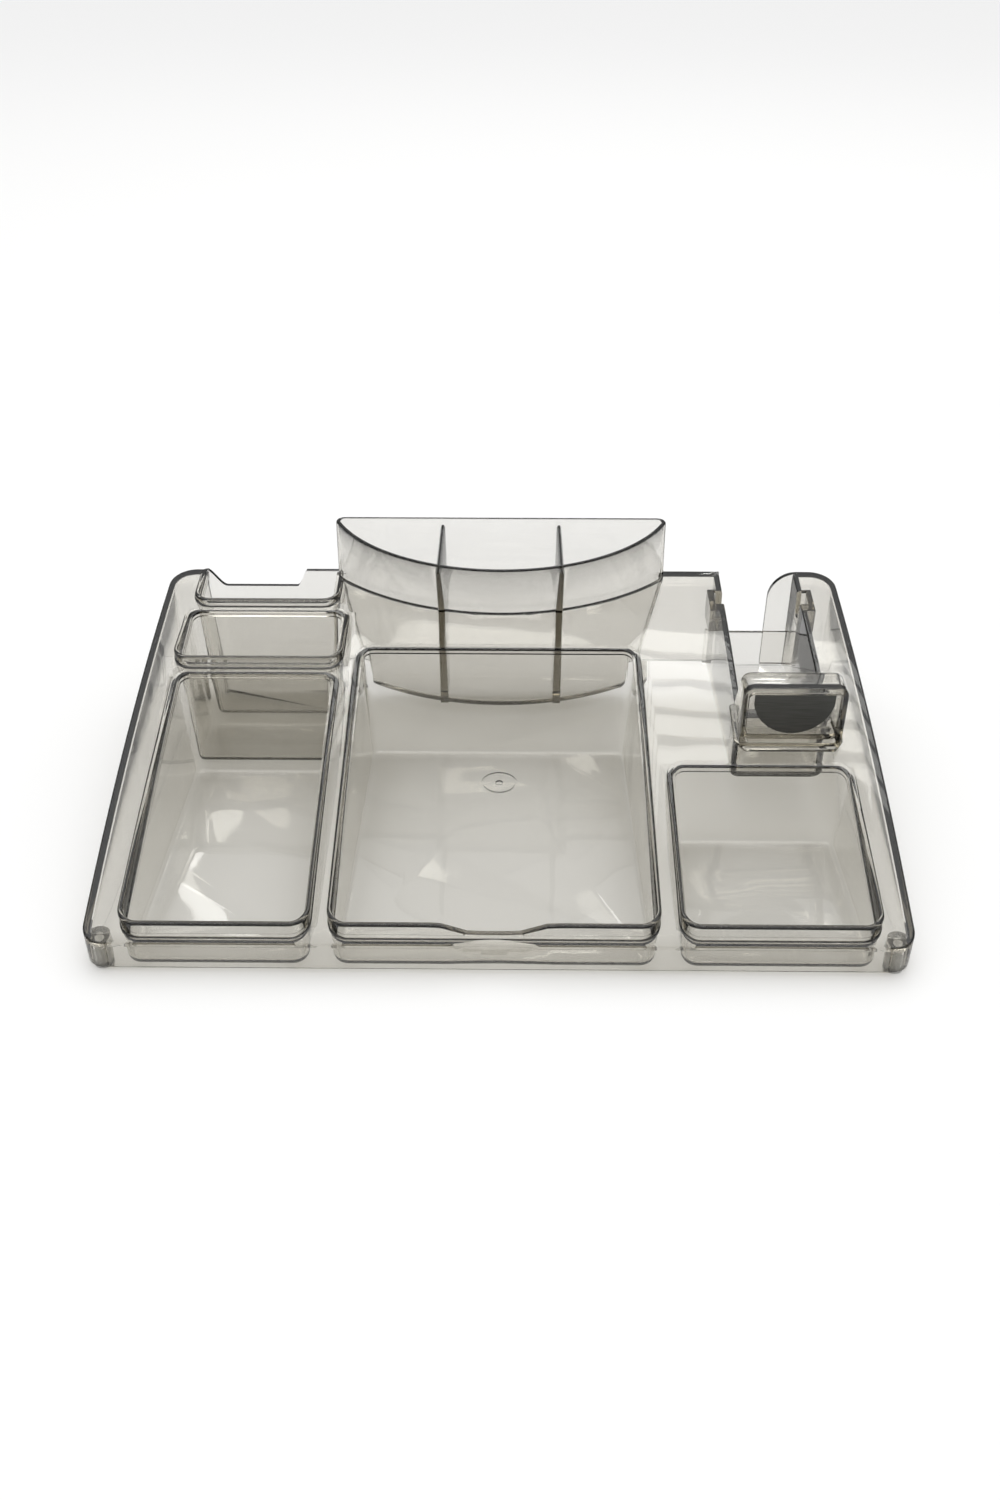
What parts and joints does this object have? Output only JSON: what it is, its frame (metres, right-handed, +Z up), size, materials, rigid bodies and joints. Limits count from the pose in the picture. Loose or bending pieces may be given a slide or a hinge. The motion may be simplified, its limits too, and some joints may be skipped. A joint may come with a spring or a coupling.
{
  "type": "desk organizer",
  "caption": "Low wedge-shaped desk organizer in clear smoke plastic: open trays and bins, a tall D-shaped divided pen cup, and a tape well with a steel-bladed cutter nose.",
  "frame": {"origin": "on the table, under the middle of the body", "axes": "+X to the right as the user sits, +Y from the low front edge to the back wall, +Z up"},
  "size_m": [0.241, 0.156, 0.0726],
  "materials": {
    "smoke_clear": "clear smoke-tinted polystyrene, polished, dark where it is seen edge-on",
    "blade_steel": "dark rolled steel strip, fine teeth",
    "foot_soft": "translucent soft plastic"
  },
  "bodies": {
    "root": {"deck": "smoke_clear", "front_skirt": "smoke_clear", "left_skirt": "smoke_clear", "right_skirt": "smoke_clear", "back_wall_left": "smoke_clear", "back_wall_right": "smoke_clear", "note_tray": "smoke_clear", "left_tray": "smoke_clear", "right_tray": "smoke_clear", "middle_bin": "smoke_clear", "rear_bin": "smoke_clear", "pen_cup": "smoke_clear", "pen_divider_left": "smoke_clear", "pen_divider_right": "smoke_clear", "tape_cheek_left": "smoke_clear", "tape_cheek_right": "smoke_clear", "tape_well_floor": "smoke_clear", "tape_well_back": "smoke_clear", "cutter_nose": "smoke_clear", "cutter_blade": "blade_steel", "post_front_left": "smoke_clear", "post_front_right": "smoke_clear", "post_back_left": "smoke_clear", "post_back_right": "smoke_clear", "foot_front_left": "foot_soft", "foot_front_right": "foot_soft", "foot_back_left": "foot_soft", "foot_back_right": "foot_soft"}
  },
  "joints": []
}
